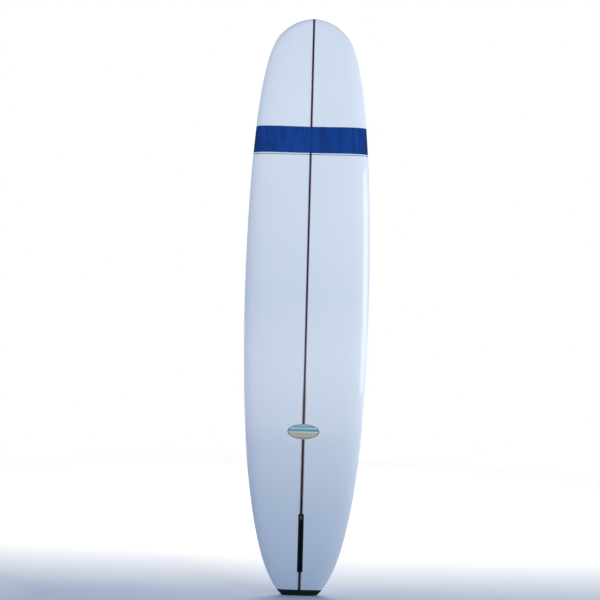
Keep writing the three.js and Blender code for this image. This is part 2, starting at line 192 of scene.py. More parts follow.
# The box lies along the chord of the bottom under it, halfway between the chord and the bulge.
tail_end, nose_end = (float(bottom_line(BOX_Z + side * BOX_HALF_LENGTH)) for side in (-1, 1))
chord = (tail_end + nose_end) / 2
BOX_TURN = math.atan2(tail_end - nose_end, 2 * BOX_HALF_LENGTH)
BOX_PLACE = (0.0, (chord + float(bottom_line(BOX_Z))) / 2, BOX_Z)

plug_share = PLUG_X / half_width(PLUG_Z)
PLUG_PLACE = (PLUG_X, float(surface(plug_share, PLUG_Z, True)[1]) + PLUG_PROUD, PLUG_Z)

# ---------------------------------------------------------------- heights of the sections

CURVE_STEPS = (96, 96, 40)
stations = np.unique(np.concatenate([bezier(c, n)[:, 1] for c, n in zip(OUTLINE, CURVE_STEPS)]))

BOX_GAP = 0.15
box_cos, box_sin = math.cos(BOX_TURN), math.sin(BOX_TURN)
BOX_FROM = BOX_Z - (BOX_HALF_LENGTH + BOX_GAP) * box_cos
BOX_TO = BOX_Z + (BOX_HALF_LENGTH + BOX_GAP) * box_cos
BADGE_MARGIN = 16.0
corner_steps = [BOX_CORNER * (1 - math.cos(math.radians(a))) for a in (22.5, 45, 67.5, 90)]
badge_reach = BADGE_HIGH + BADGE_MARGIN
badge_rows = np.linspace(BADGE_Z - badge_reach, BADGE_Z + badge_reach, 21)
PLUG_GAP, PLUG_MARGIN = 0.1, 9.0
plug_reach = PLUG_RADIUS + PLUG_MARGIN
plug_rows = np.linspace(PLUG_Z - plug_reach, PLUG_Z + plug_reach, 13)
badge_step = BADGE_HIGH * math.sqrt(1 - (GLUE_HALF / BADGE_WIDE) ** 2)
marks = sorted({
    BOX_FROM, BOX_TO, *(BOX_FROM + c for c in corner_steps), *(BOX_TO - c for c in corner_steps),
    *badge_rows, *plug_rows, *PINLINE, *BAND, PATCH_END, LAP_TOP,
})
MARK_CLEARANCE = 2.2  # between a mark and the nearest plain section
apart = [z for z in stations if min(abs(z - m) for m in marks) > MARK_CLEARANCE or z > LAP_TOP + 0.4]
plain = [z for z in apart if BLOCK_TOP + 3 < z < LENGTH]
all_heights = np.array(sorted(plain + marks + [BLOCK_TOP, LENGTH]))


def heights(start, end):
    return all_heights[(all_heights >= start - 1e-9) & (all_heights <= end + 1e-9)]


def stepped(start, end, spans):
    """Heights from start to end, and whether each is inside a span. A span's ends come twice."""
    cuts = [start] + [c for span in sorted(spans) for c in span] + [end]
    z, inside = [], []
    for i, (a, b) in enumerate(zip(cuts, cuts[1:])):
        part = np.unique(np.concatenate([[a], heights(a, b), [b]]))
        z.extend(part)
        inside.extend([i % 2 == 1] * len(part))
    return np.array(z), np.array(inside)


# ---------------------------------------------------------------- meshes


MERGE, SLIVER = 2e-6, 1e-7  # metres: points closer than the first are one, shorter edges go


def new_object(name, verts, faces, sharp=35):
    mesh = bpy.data.meshes.new(name)
    corners = [tuple(v) for v in np.asarray(verts) * MM]
    mesh.from_pydata(corners, [], [tuple(int(i) for i in f) for f in faces])
    bm = bmesh.new()
    bm.from_mesh(mesh)
    bmesh.ops.remove_doubles(bm, verts=bm.verts, dist=MERGE)
    bmesh.ops.dissolve_degenerate(bm, edges=bm.edges, dist=SLIVER)
    bmesh.ops.delete(bm, geom=[e for e in bm.edges if not e.link_faces], context="EDGES")
    bmesh.ops.delete(bm, geom=[v for v in bm.verts if not v.link_faces], context="VERTS")
    bm.to_mesh(mesh)
    bm.free()
    return link(name, mesh, sharp)


def link(name, mesh, sharp=35):
    mesh.shade_smooth()
    mesh.set_sharp_from_angle(angle=math.radians(sharp))
    made = bpy.data.objects.new(name, mesh)
    bpy.context.scene.collection.objects.link(made)
    return made


COLLAR_RINGS = 3


class Sheet:
    """A surface of the board as shares of the half-width, heights and faces that turn outwards."""

    def __init__(self):
        self.share, self.z, self.deck, self.inside, self.faces = [], [], [], [], []

    def grid(self, share, z, deck, inside, flip, skip=lambda r, c: False):
        """Adds rows along the board and columns across it, and returns its first point's number."""
        rows, cols = share.shape
        first = len(self.share)
        self.share.extend(share.ravel())
        self.z.extend(np.repeat(z, cols))
        self.deck.extend(np.broadcast_to(deck, share.shape).ravel())
        self.inside.extend(np.repeat(inside, cols))
        for r in range(rows - 1):
            for c in range(cols - 1):
                if not skip(r, c):
                    a = first + r * cols + c
                    self.face((a, a + 1, a + cols + 1, a + cols), flip)
        return first

    def face(self, corners, flip):
        self.faces.append(tuple(reversed(corners)) if flip else tuple(corners))

    def flat(self, path):
        """x and z of points of the sheet."""
        z = np.array([self.z[i] for i in path])
        return np.array([self.share[i] for i in path]) * half_width(z), z

    def collar(self, path, edge, closed, flip):
        """Fills the space between a path and the edge of a hole, one (x, z) for each of its points."""
        x0, z0 = self.flat(path)
        last = list(path)
        for k in range(1, COLLAR_RINGS + 1):
            t = k / COLLAR_RINGS
            x, z = x0 + t * (edge[:, 0] - x0), z0 + t * (edge[:, 1] - z0)
            first = len(self.share)
            self.share.extend(x / half_width(z))
            self.z.extend(z)
            self.deck.extend([self.deck[path[0]]] * len(path))
            self.inside.extend([False] * len(path))
            ring = list(range(first, first + len(path)))
            for i in range(len(path) - (0 if closed else 1)):
                j = (i + 1) % len(path)
                self.face((last[i], last[j], ring[j], ring[i]), flip)
            last = ring

    def points(self, inset):
        found = surface(np.array(self.share), np.array(self.z), np.array(self.deck, bool), inset)
        tip = np.array(self.z) > LENGTH - 1e-3
        found[tip, 0] = np.copysign(TIP_GAP, found[tip, 0])
        return found

    def shell(self, name, outer=0.0, inner=GLASS, sunk=None):
        """A closed piece between two depths, deeper (sunk) where the sheet is marked inside."""
        depth = outer if sunk is None else np.where(np.array(self.inside), sunk, outer)
        count = len(self.share)
        verts = np.vstack([self.points(depth), self.points(inner)])
        under = [tuple(count + v for v in reversed(f)) for f in self.faces]
        edges = {(f[i], f[(i + 1) % len(f)]) for f in self.faces for i in range(len(f))}
        walls = [(b, a, count + a, count + b) for a, b in edges if (b, a) not in edges]
        return new_object(name, verts, self.faces + under + sorted(walls))


# Columns across half a section.
FLAT_COLUMNS = 24
RAIL_COLUMNS = 16
LAP_COLUMNS = 12
RAIL_START = math.radians(24)
PLUG_STEP = 4.0
PLUG_COLUMNS = 14
DECK_COLUMNS = 16


def box_edge(z):
    """The column that follows the side of the fin box, round corners included."""
    d = np.minimum(z - BOX_FROM, BOX_TO - z)
    d = np.clip(BOX_CORNER - d, 0, BOX_CORNER)
    return BOX_HALF_WIDTH + BOX_GAP - BOX_CORNER + np.sqrt(BOX_CORNER**2 - d**2)


def bottom_columns(z):
    """Shares of the half-width from the stringer's slot out to the rail, a row for each height."""
    width = half_width(z)
    power = powers(z)[0]
    slot = slot_edge(z) / width
    box = np.minimum(box_edge(z) / width, SLOT_NARROWING + 0.08)
    rail = np.sin(RAIL_START) ** (2 / power)
    flat = [box + (rail - box) * i / FLAT_COLUMNS for i in range(FLAT_COLUMNS + 1)]
    turn = np.linspace(RAIL_START, math.pi / 2, RAIL_COLUMNS + 1)[1:]
    return np.stack([slot, *flat, *(np.sin(a) ** (2 / power) for a in turn)], 1)


def lap_columns(z, edge):
    """From the rail up to a share on the deck."""
    power = powers(z)[1]
    last = np.arcsin(np.clip(edge, 0, 1) ** (power / 2))
    steps = np.arange(1, LAP_COLUMNS + 1) / LAP_COLUMNS
    return np.stack([np.sin(math.pi / 2 + (last - math.pi / 2) * s) ** (2 / power) for s in steps], 1)


def wrap(z):
    """Shares and deck flags of half a wrapped section: the bottom, then the lap."""
    width = half_width(z)
    edge = np.maximum(lap_edge(z), slot_edge(z)) / width
    bottom, lap = bottom_columns(z), lap_columns(z, edge)
    deck = np.concatenate([np.zeros(bottom.shape[1], bool), np.ones(lap.shape[1], bool)])
    return np.concatenate([bottom, lap], 1), deck


def deck_columns(z):
    """Shares from the slot for the stringer to the edge of the lap."""
    width = half_width(z)
    slot = slot_edge(z)
    edge = np.maximum(lap_edge(z), slot)
    near = []
    for i in range(PLUG_COLUMNS + 1):
        reach = edge * (SLOT_NARROWING + (1 - SLOT_NARROWING) * i / (PLUG_COLUMNS + DECK_COLUMNS))
        near.append(np.maximum(np.minimum(slot + PLUG_STEP * i, reach), np.minimum(slot, edge)))
    far = [near[-1] + (edge - near[-1]) * i / DECK_COLUMNS for i in range(1, DECK_COLUMNS + 1)]
    return np.stack([*near, *far], 1) / width[:, None]


def ray_to_oval(x, z, middle, wide, high, start):
    """Where rays from x = start, at the oval's height, through the points meet the oval."""
    dx, dz = x - start, z - middle[1]
    off = start - middle[0]
    a = (dx / wide) ** 2 + (dz / high) ** 2
    b = 2 * off * dx / wide**2
    c = (off / wide) ** 2 - 1
    t = (-b + np.sqrt(b * b - 4 * a * c)) / (2 * a)
    return np.stack([start + t * dx, middle[1] + t * dz], 1)


def rows_of(z, low, high):
    """First and last row that lie just outside a range of heights."""
    return int(np.searchsorted(z, low + 1e-6) - 1), int(np.searchsorted(z, high - 1e-6))


def block_path(first, cols, r0, r1, c0, c1, closed):
    path = [first + r0 * cols + c for c in range(c0, c1)]
    path += [first + r * cols + c1 for r in range(r0, r1)]
    path += [first + r1 * cols + c for c in range(c1, c0, -1)]
    if closed:
        return path + [first + r * cols + c0 for r in range(r1, r0, -1)]
    return path + [first + r1 * cols + c0]


badge_edges = {}  # filled by hull_skin and used by badge_plate


def hull_skin():
    """The bottom's laminate with its laps, open at the stringer, the fin box and the badge."""
    sheet = Sheet()
    z, inside = stepped(BLOCK_TOP, LENGTH, [PINLINE, BAND])
    share, deck = wrap(z)
    cols = share.shape[1]
    badge_r0, badge_r1 = rows_of(z, badge_rows[1], badge_rows[-2])
    width = half_width(z[badge_r0])
    badge_c = int(np.argmax(share[badge_r0] * width > BADGE_WIDE + BADGE_MARGIN))

    def skip(r, c):
        in_box = c == 0 and BOX_FROM - 1e-6 <= z[r] < BOX_TO - 1e-6
        return in_box or (badge_r0 <= r < badge_r1 and c < badge_c)

    for side in (1, -1):
        first = sheet.grid(side * share, z, deck, inside, side < 0, skip)
        path = block_path(first, cols, badge_r0, badge_r1, 0, badge_c, False)
        oval = ((0, BADGE_Z), BADGE_WIDE, BADGE_HIGH)
        edge = ray_to_oval(*sheet.flat(path), *oval, side * GLUE_HALF)
        badge_edges[side] = edge
        sheet.collar(path, edge, False, side < 0)
    return sheet.shell("hull_skin", sunk=GROOVE)


def deck_sides(sheet, z, share, inside):
    """Both halves of the deck, open along the stringer and round the leash plug."""
    cols = share.shape[1]
    r0, r1 = rows_of(z, plug_rows[1], plug_rows[-2])
    x = share[(r0 + r1) // 2] * half_width(PLUG_Z)
    c0 = int(np.searchsorted(x, PLUG_X - PLUG_RADIUS - PLUG_STEP)) - 1
    c1 = int(np.searchsorted(x, PLUG_X + PLUG_RADIUS + PLUG_STEP))
    sheet.grid(-share, z, True, inside, False)
    first = sheet.grid(share, z, True, inside, True, lambda r, c: r0 <= r < r1 and c0 <= c < c1)
    path = block_path(first, cols, r0, r1, c0, c1, True)
    reach = PLUG_RADIUS + PLUG_GAP
    hole = ray_to_oval(*sheet.flat(path), (PLUG_X, PLUG_Z), reach, reach, PLUG_X)
    sheet.collar(path, hole, True, True)


def deck_skin():
    """The deck's laminate between the laps."""
    sheet = Sheet()
    z, inside = stepped(BLOCK_TOP, LAP_TOP, [PINLINE, BAND])
    deck_sides(sheet, z, deck_columns(z), inside)
    return sheet.shell("deck_skin", sunk=GROOVE)


def wrapped_inlay(name, span):
    """Pigmented resin round the bottom and both rails, level with the laminate."""
    sheet = Sheet()
    z = heights(*span)
    share, deck = wrap(z)
    full = np.concatenate([-share[:, ::-1], share], 1)
    sheet.grid(full, z, np.concatenate([deck[::-1], deck]), np.zeros(len(z), bool), False)
    return sheet.shell(name, 0.0, INLAY)


def deck_inlay(name, span):
    sheet = Sheet()
    z = heights(*span)
    share = deck_columns(z)
    full = np.concatenate([-share[:, ::-1], share], 1)
    sheet.grid(full, z, True, np.zeros(len(z), bool), True)
    return sheet.shell(name, 0.0, INLAY)


def deck_cloth():
    """The extra cloth under the tail half of the deck, on both sides of the stringer."""
    sheet = Sheet()
    z = heights(BLOCK_TOP, PATCH_END)
    deck_sides(sheet, z, deck_columns(z)[:, :-1], np.zeros(len(z), bool))
    return sheet.shell("deck_cloth", PATCH_FROM, PATCH_TO)


def badge_plate():
    """An oval inlay whose edge has the same points as the hole in the laminate."""
    sheet = Sheet()
    edge = np.vstack([badge_edges[1], badge_edges[-1][::-1]])
    rings = 10
    for k in range(rings + 1):
        x, z = edge[:, 0] * (1 - k / rings), BADGE_Z + (edge[:, 1] - BADGE_Z) * (1 - k / rings)
        sheet.share.extend(x / half_width(z))
        sheet.z.extend(z)
    count = len(edge)
    sheet.deck = [False] * len(sheet.z)
    sheet.inside = [False] * len(sheet.z)
    for k in range(rings):
        for i in range(count):
            j = (i + 1) % count
            sheet.face((k * count + i, k * count + j, (k + 1) * count + j, (k + 1) * count + i), False)
    return sheet.shell("badge_oval", 0.0, INLAY)


def loft(name, loops, sharp=35):
    """Skins a row of equal loops; each end is closed by joining points across the loop."""
    loops = np.asarray(loops)
    rings, size = loops.shape[:2]
    faces = []
    for r in range(rings - 1):
        for i in range(size):
            j = (i + 1) % size
            faces.append((r * size + i, r * size + j, (r + 1) * size + j, (r + 1) * size + i))
    last = (rings - 1) * size
    for i in range(size // 2 - 1):
        a, b, c, d = i, i + 1, size - 2 - i, size - 1 - i
        faces.append((a, d, c, b))
        faces.append((last + a, last + b, last + c, last + d))
    return new_object(name, loops.reshape(-1, 3), faces, sharp=sharp)


def upright(name, inner, outer, across=4):
    """A plank that shows on both faces of the board, lowered under inlays and at the fin box."""
    spans = [PINLINE, BAND]
    box = (BOX_FROM, BOX_TO)
    badge = (BADGE_Z - badge_step, BADGE_Z + badge_step)
    cuts = sorted([*PINLINE, *BAND, *box, *badge])
    edges = [BLOCK_TOP] + cuts + [LENGTH]
    loops = []
    for a, b in zip(edges, edges[1:]):
        middle = (a + b) / 2
        under_inlay = any(s[0] < middle < s[1] for s in spans)
        low = BOX_DEPTH if box[0] < middle < box[1] else GROOVE
        low = low if under_inlay or any(s[0] < middle < s[1] for s in (box, badge)) else 0
        high = GROOVE if under_inlay else 0
        for z in np.unique(np.concatenate([[a], heights(a, b), [b]])):
            reach = slot_edge(z) / GLUE_HALF
            x = np.linspace(inner * reach, outer * reach, across + 1)
            share = x / half_width(z)
            bottom = surface(share, np.full(x.shape, z), False)
            deck = surface(share, np.full(x.shape, z), True)
            bottom[:, 1] = np.minimum(bottom[:, 1] + low, deck[:, 1])
            deck[:, 1] = np.maximum(deck[:, 1] - high, bottom[:, 1])
            loops.append(np.vstack([bottom, deck[::-1]]))
    return loft(name, loops)


def tail_block():
    """The block at the tail, with its lower edge rounded over."""
    turn = np.linspace(0, math.pi / 2, 25)
    loops = []
    angles = np.linspace(0, math.pi / 2, 7)
    rows = [(BLOCK_ROUND * (1 - math.cos(a)), BLOCK_ROUND * (1 - math.sin(a))) for a in angles]
    rows += [(z, 0.0) for z in np.linspace(4, BLOCK_TOP, 13)]
    for z, inset in rows:
        sides = []
        for power, on_deck in zip(powers(z), (False, True)):
            half = np.sin(turn) ** (2 / power)
            share = np.concatenate([-half[:0:-1], half])
            sides.append(surface(share, np.full(share.shape, z), on_deck, inset))
        loops.append(np.vstack([sides[0], sides[1][::-1]]))
    return loft("tail_block_resin", loops)


# ---------------------------------------------------------------- fittings

box_frame = Matrix.Translation(Vector(BOX_PLACE) * MM) @ Matrix.Rotation(BOX_TURN, 4, "X")
plug_frame = Matrix.Translation(Vector(PLUG_PLACE) * MM)


def refined(node, name, bevel, change=None, cuts=0):
    """A copy of a CAD node in the box, with flat faces joined up, edges eased and points moved."""
    bm = bmesh.new()
    bm.from_mesh(nodes[node].data)
    bm.transform(box_frame.inverted())
    bmesh.ops.remove_doubles(bm, verts=bm.verts, dist=1e-6)
    bmesh.ops.dissolve_limit(bm, angle_limit=math.radians(1), verts=bm.verts, edges=bm.edges)
    sharp = [e for e in bm.edges if len(e.link_faces) == 2 and e.calc_face_angle(0) > math.radians(30)]
    easing = dict(offset=bevel * MM, segments=2, profile=0.5, affect="EDGES", clamp_overlap=True)
    bmesh.ops.bevel(bm, geom=sharp, **easing)
    if cuts:
        zs = [v.co.z for v in bm.verts]
        for z in np.linspace(min(zs), max(zs), cuts + 2)[1:-1]:
            geom = bm.verts[:] + bm.edges[:] + bm.faces[:]
            bmesh.ops.bisect_plane(bm, geom=geom, plane_co=(0, 0, z), plane_no=(0, 0, 1), dist=1e-6)
    if change:
        for v in bm.verts:
            change(v.co)
    bm.transform(box_frame)
    mesh = bpy.data.meshes.new(name)
    bm.to_mesh(mesh)
    bm.free()
    return link(name, mesh, 30)


def box_face_curve():
    """Height of the board's bottom above the plane of the box's face, along the box."""
    z = np.linspace(BOX_FROM - 5, BOX_TO + 5, 200)
    points = surface(np.zeros(z.shape), z, False)
    dy, dz = points[:, 1] - BOX_PLACE[1], points[:, 2] - BOX_PLACE[2]
    return -dy * box_sin + dz * box_cos, dy * box_cos + dz * box_sin


face_along, face_rise = box_face_curve()


def follow_bottom(co):
    """Moves the face of the fin box on to the curve of the bottom; the channel stays straight."""
    depth = co.y / MM
    share = max(0.0, 1 - max(depth, 0.0) / BOX_FLANGE)
    co.y += float(np.interp(co.z / MM, face_along, face_rise)) * share * MM


def lathe(name, profile, segments, sign, place, matrix, sharp=30):
    """Turns a profile of (radius, depth) round a fitting's Y axis."""
    profile = np.array(profile, float)
    verts = []
    for k in range(segments):
        a = 2 * math.pi * k / segments
        for radius, depth in profile:
            verts.append((radius * math.cos(a), sign * depth, radius * math.sin(a)))
    count = len(profile)
    faces = []
    for k in range(segments):
        n = (k + 1) % segments
        for i in range(count - 1):
            faces.append((k * count + i, n * count + i, n * count + i + 1, k * count + i + 1))
    verts = np.array(verts) + np.array(place, float)
    made = new_object(name, verts, faces, sharp=sharp)
    made.data.transform(matrix)
    outward(made.data)
    return made


def outward(mesh):
    bm = bmesh.new()
    bm.from_mesh(mesh)
    bmesh.ops.recalc_face_normals(bm, faces=bm.faces)
    if bm.calc_volume(signed=True) < 0:
        bmesh.ops.reverse_faces(bm, faces=bm.faces)
    bm.to_mesh(mesh)
    bm.free()


def carve(obj, *cutters):
    """Cuts solid shapes away and removes them."""
    for cutter in cutters:
        modifier = obj.modifiers.new("carve", "BOOLEAN")
        modifier.operation, modifier.solver, modifier.object = "DIFFERENCE", "EXACT", cutter
        depsgraph = bpy.context.evaluated_depsgraph_get()
        mesh = bpy.data.meshes.new_from_object(obj.evaluated_get(depsgraph))
        obj.modifiers.clear()
        obj.data = mesh
        bpy.data.objects.remove(cutter)
    obj.data.shade_smooth()
    obj.data.set_sharp_from_angle(angle=math.radians(30))
    return obj


def bar(name, size, place, matrix):
    x, y, z = (s / 2 for s in size)
    verts = [(sx * x, sy * y, sz * z) for sx in (-1, 1) for sy in (-1, 1) for sz in (-1, 1)]
    faces = [(0, 1, 3, 2), (4, 6, 7, 5), (0, 4, 5, 1), (2, 3, 7, 6), (0, 2, 6, 4), (1, 5, 7, 3)]
    made = new_object(name, np.array(verts) + np.array(place, float), faces)
    made.data.transform(matrix)
    return made


def arc(centre, radius, start, end, steps=5):
    angles = np.radians(np.linspace(start, end, steps))
    return [(centre[0] + radius * math.cos(a), centre[1] + radius * math.sin(a)) for a in angles]


def fin_screw():
    """A pan-head machine screw with a cross recess and a real thread."""
    head_top, head_foot, radius = 2.5, 5.0, 3.7
    pitch, major, minor, tip = 0.8, 1.95, 1.6, 21.0
    profile = [(0.0, head_top)]
    profile += [(x, head_top + 0.1 * (x / 2.6) ** 2) for x in (0.9, 1.8, 2.6)]
    profile += arc((2.6, head_top + 1.2), 1.1, -90, 0, 6)
    profile += [(radius, head_foot - 0.15), (radius - 0.15, head_foot), (major, head_foot)]
    profile += [(0.0, head_foot)]
    head = lathe("screw_head_cutaway", profile, 48, 1, (0, 0, PLATE_MIDDLE), box_frame)
    slots = [
        bar("recess_a", (1.1, 2.6, 4.6), (0, head_top, PLATE_MIDDLE), box_frame),
        bar("recess_b", (4.6, 2.6, 1.1), (0, head_top, PLATE_MIDDLE), box_frame),
    ]
    carve(head, *slots)
    around, rise = 32, 10
    rows = int((tip - head_foot) / pitch * rise)
    verts, faces = [], []
    for k in range(rows + 1):
        depth = head_foot + (tip - head_foot) * k / rows
        end = min(1.0, (tip - depth) / 1.0)
        for i in range(around):
            a = 2 * math.pi * i / around
            phase = ((depth - head_foot) / pitch + i / around) % 1
            crest = 1 - abs(2 * phase - 1)
            r = minor + (major - minor) * min(1, 1.3 * crest)
            r = r * (0.7 + 0.3 * end)
            verts.append((r * math.cos(a), depth, r * math.sin(a) + PLATE_MIDDLE))
    for k in range(rows):
        for i in range(around):
            j = (i + 1) % around
            faces.append((k * around + i, k * around + j, (k + 1) * around + j, (k + 1) * around + i))
    faces.append(tuple(range(around)))
    faces.append(tuple(rows * around + i for i in range(around)))
    shank = new_object("shank", verts, faces)
    shank.data.transform(box_frame)
    outward(shank.data)
    return joined("screw_steel_cross", head, shank)


def joined(name, *objects):
    bm = bmesh.new()
    for o in objects:
        bm.from_mesh(o.data)
    mesh = bpy.data.meshes.new(name)
    bm.to_mesh(mesh)
    bm.free()
    for o in objects:
        bpy.data.objects.remove(o)
    return link(name, mesh, 30)


def leash_cup():
    bore, body, height, depth, rim, ease = 10.0, 13.0, 17.0, 13.5, 2.0, 0.9
    profile = [(0.0, depth), *arc((bore - 1.5, depth - 1.5), 1.5, 90, 0, 5)]
    profile += arc((bore + ease, ease), ease, 180, 270, 6)
    profile += arc((PLUG_RADIUS - ease, ease), ease, -90, 0, 6)
    profile += [(PLUG_RADIUS, rim), (body, rim), (body, height - 0.6), (body - 0.6, height)]
    profile += [(0.0, height)]
    cup = lathe("leash_cup", profile, 72, -1, (0, 0, 0), plug_frame)
    hole = pin_rod("pin_hole", 2.3, 24.6, 0)
    return carve(cup, hole)


def pin_rod(name, radius, length, ease=0.4):
    half = length / 2
    profile = [(0, -half), (radius - ease, -half), (radius, ease - half)]
    profile += [(r, -depth) for r, depth in reversed(profile)]
    turn = plug_frame @ Matrix.Translation((0, -5 * MM, 0)) @ Matrix.Rotation(math.pi / 2, 4, "Z")
    return lathe(name, profile, 40, 1, (0, 0, 0), turn)


# ---------------------------------------------------------------- materials


class Finish:
    """A material whose nodes are made by short calls. Its textures are in metres on the board."""

    def __init__(self, name, **values):
        self.made = bpy.data.materials.new(name)
        self.made.use_nodes = True
        self.tree = self.made.node_tree
        self.shader = self.tree.nodes["Principled BSDF"]
        for key, value in values.items():
            self.shader.inputs[key.replace("_", " ")].default_value = value
        self.place = self.node("ShaderNodeTexCoord").outputs["Object"]

    def node(self, kind, **settings):
        made = self.tree.nodes.new(kind)
        for key, value in settings.items():
            setattr(made, key, value)
        return made

    def feed(self, socket, value):
        if isinstance(value, bpy.types.NodeSocket):
            self.tree.links.new(value, socket)
        else:
            socket.default_value = value

    def math(self, operation, *values):
        made = self.node("ShaderNodeMath", operation=operation)
        for i, value in enumerate(values):
            self.feed(made.inputs[i], value)
        return made.outputs[0]

    def axis(self, name):
        made = self.node("ShaderNodeSeparateXYZ")
        self.feed(made.inputs[0], self.place)
        return made.outputs[name]

    def scaled(self, x, y, z):
        made = self.node("ShaderNodeMapping")
        self.feed(made.inputs["Vector"], self.place)
        made.inputs["Scale"].default_value = (x, y, z)
        return made.outputs[0]

    def noise(self, scale, detail=3.0, vector=None, roughness=0.5, distortion=0.0):
        made = self.node("ShaderNodeTexNoise")
        self.feed(made.inputs["Vector"], vector or self.place)
        made.inputs["Scale"].default_value = scale
        made.inputs["Detail"].default_value = detail
        made.inputs["Roughness"].default_value = roughness
        made.inputs["Distortion"].default_value = distortion
        return made.outputs[0]

    def ramp(self, value, *stops, interpolation="LINEAR"):
        made = self.node("ShaderNodeValToRGB")
        made.color_ramp.interpolation = interpolation
        while len(made.color_ramp.elements) < len(stops):
            made.color_ramp.elements.new(1)
        for element, (at, colour) in zip(made.color_ramp.elements, stops):
            element.position = at
            element.color = (*colour, 1)
        self.feed(made.inputs[0], value)
        return made.outputs[0]

    def span(self, value, low, high, to_low=0.0, to_high=1.0):
        made = self.node("ShaderNodeMapRange", clamp=True)
        self.feed(made.inputs["Value"], value)
        ends = {"From Min": low, "From Max": high, "To Min": to_low, "To Max": to_high}
        for key, number in ends.items():
            made.inputs[key].default_value = number
        return made.outputs[0]

    def mix(self, share, a, b):
        made = self.node("ShaderNodeMix", data_type="RGBA")
        self.feed(made.inputs["Factor"], share)
        for socket, value in ((made.inputs[6], a), (made.inputs[7], b)):
            self.feed(socket, (*value, 1) if isinstance(value, tuple) else value)
        return made.outputs[2]

    def set(self, key, value):
        self.feed(self.shader.inputs[key], value)

    def bump(self, *layers):
        """Layers of (height from 0 to 1, depth in millimetres)."""
        normal = None
        for height, depth in layers:
            made = self.node("ShaderNodeBump")
            made.inputs["Strength"].default_value = 1.0
            made.inputs["Distance"].default_value = depth * MM
            self.feed(made.inputs["Height"], height)
            if normal is not None:
                self.feed(made.inputs["Normal"], normal)
            normal = made.outputs[0]
        self.set("Normal", normal)

    def from_middle(self, a, b):
        return self.math("SQRT", self.math("ADD", self.math("POWER", a, 2.0), self.math("POWER", b, 2.0)))

    def weave(self):
        """Plain cloth: threads over and under each other."""
        turns = 2 * math.pi / CLOTH_PITCH
        waves = [self.math("SINE", self.math("MULTIPLY", self.axis(a), turns)) for a in ("X", "Z")]
        return self.math("MULTIPLY_ADD", self.math("MULTIPLY", *waves), 0.5, 0.5)


CLOTH_PITCH = 0.0024  # metres
STAIN_HALF = 10.0  # half-width of the stain beside the stringer, in millimetres
GLOSS = {
    "Roughness": 0.3,
    "Specular_IOR_Level": 0.12,
    "Coat_Weight": 1.0,
    "Coat_Roughness": 0.035,
    "Coat_IOR": 1.5,
}


def gloss_bump(finish, ripple=0.10):
    """Hand-sanded gloss coat: long soft ripples and a faint print of the cloth."""
    long_ripple = finish.noise(5.5, 2.0, finish.scaled(1.6, 1.6, 0.7))
    print_through = finish.weave()
    finish.bump((long_ripple, ripple * 2), (print_through, 0.0008))


def laminate_finish(name, light, shade):
    f = Finish(name, **GLOSS)
    cloud = f.noise(2.4, 4.0, f.scaled(1.0, 1.0, 0.5), roughness=0.6)
    tint = f.mix(f.span(cloud, 0.35, 0.68), light, shade)
    tint = f.mix(f.span(f.weave(), 0, 1, 0.0, 0.09), tint, (0.62, 0.70, 0.80))
    specks = f.span(f.noise(310, 1.0), 0.76, 0.82, 0.0, 0.12)
    tint = f.mix(specks, tint, (0.50, 0.54, 0.58))
    # beside the stringer the cloth is stained by the glue, most of all toward the tail
    beside = f.span(f.math("ABSOLUTE", f.axis("X")), GLUE_HALF * MM, STAIN_HALF * MM, 1.0, 0.0)
    toward_tail = f.span(f.axis("Z"), 0.90, 1.02, 0.8, 0.12)
    depth = f.math("MULTIPLY", toward_tail, f.span(f.noise(40, 3.0), 0.2, 0.6, 0.7, 1.0))
    tint = f.mix(f.math("MULTIPLY", beside, depth), tint, (0.22, 0.025, 0.045))
    f.set("Base Color", tint)
    rubbed = f.noise(9, 3.0, f.scaled(1.0, 1.0, 0.4), roughness=0.6)
    f.set("Roughness", f.span(rubbed, 0.3, 0.7, 0.27, 0.36))
    gloss_bump(f)
    return f.made


def band_finish(name, deep, bright):
    f = Finish(name, **GLOSS)
    # painted reflections: the swirl between the deep and bright blue, and the long wavy dark streaks,
    # stand in for the surroundings mirrored in the gloss
    swirl = f.noise(9.0, 4.0, f.scaled(1.0, 1.0, 0.35), distortion=1.4)
    tint = f.mix(f.span(swirl, 0.35, 0.7), deep, bright)
    reflection_streaks = f.noise(26.0, 3.0, f.scaled(1.0, 1.0, 0.12), distortion=1.1)
    tint = f.mix(f.span(reflection_streaks, 0.48, 0.62, 0.0, 0.4), tint, tuple(0.35 * c for c in deep))
    across = f.math("ABSOLUTE", f.axis("X"))
    # the stringer shows through a little, and toward the rails the band is darkened: painted shade where
    # the rails turn away from the light
    tint = f.mix(f.span(across, 0.0035, 0.0065, 0.15, 0.0), tint, (0.002, 0.006, 0.03))
    # painted shade toward both rails
    tint = f.mix(f.span(across, 0.215, 0.285, 0.0, 0.65), tint, (0.001, 0.006, 0.05))
    f.set("Base Color", tint)
    f.set("Roughness", f.span(f.noise(12, 3.0), 0.3, 0.7, 0.2, 0.3))
    gloss_bump(f, 0.16)
    return f.made


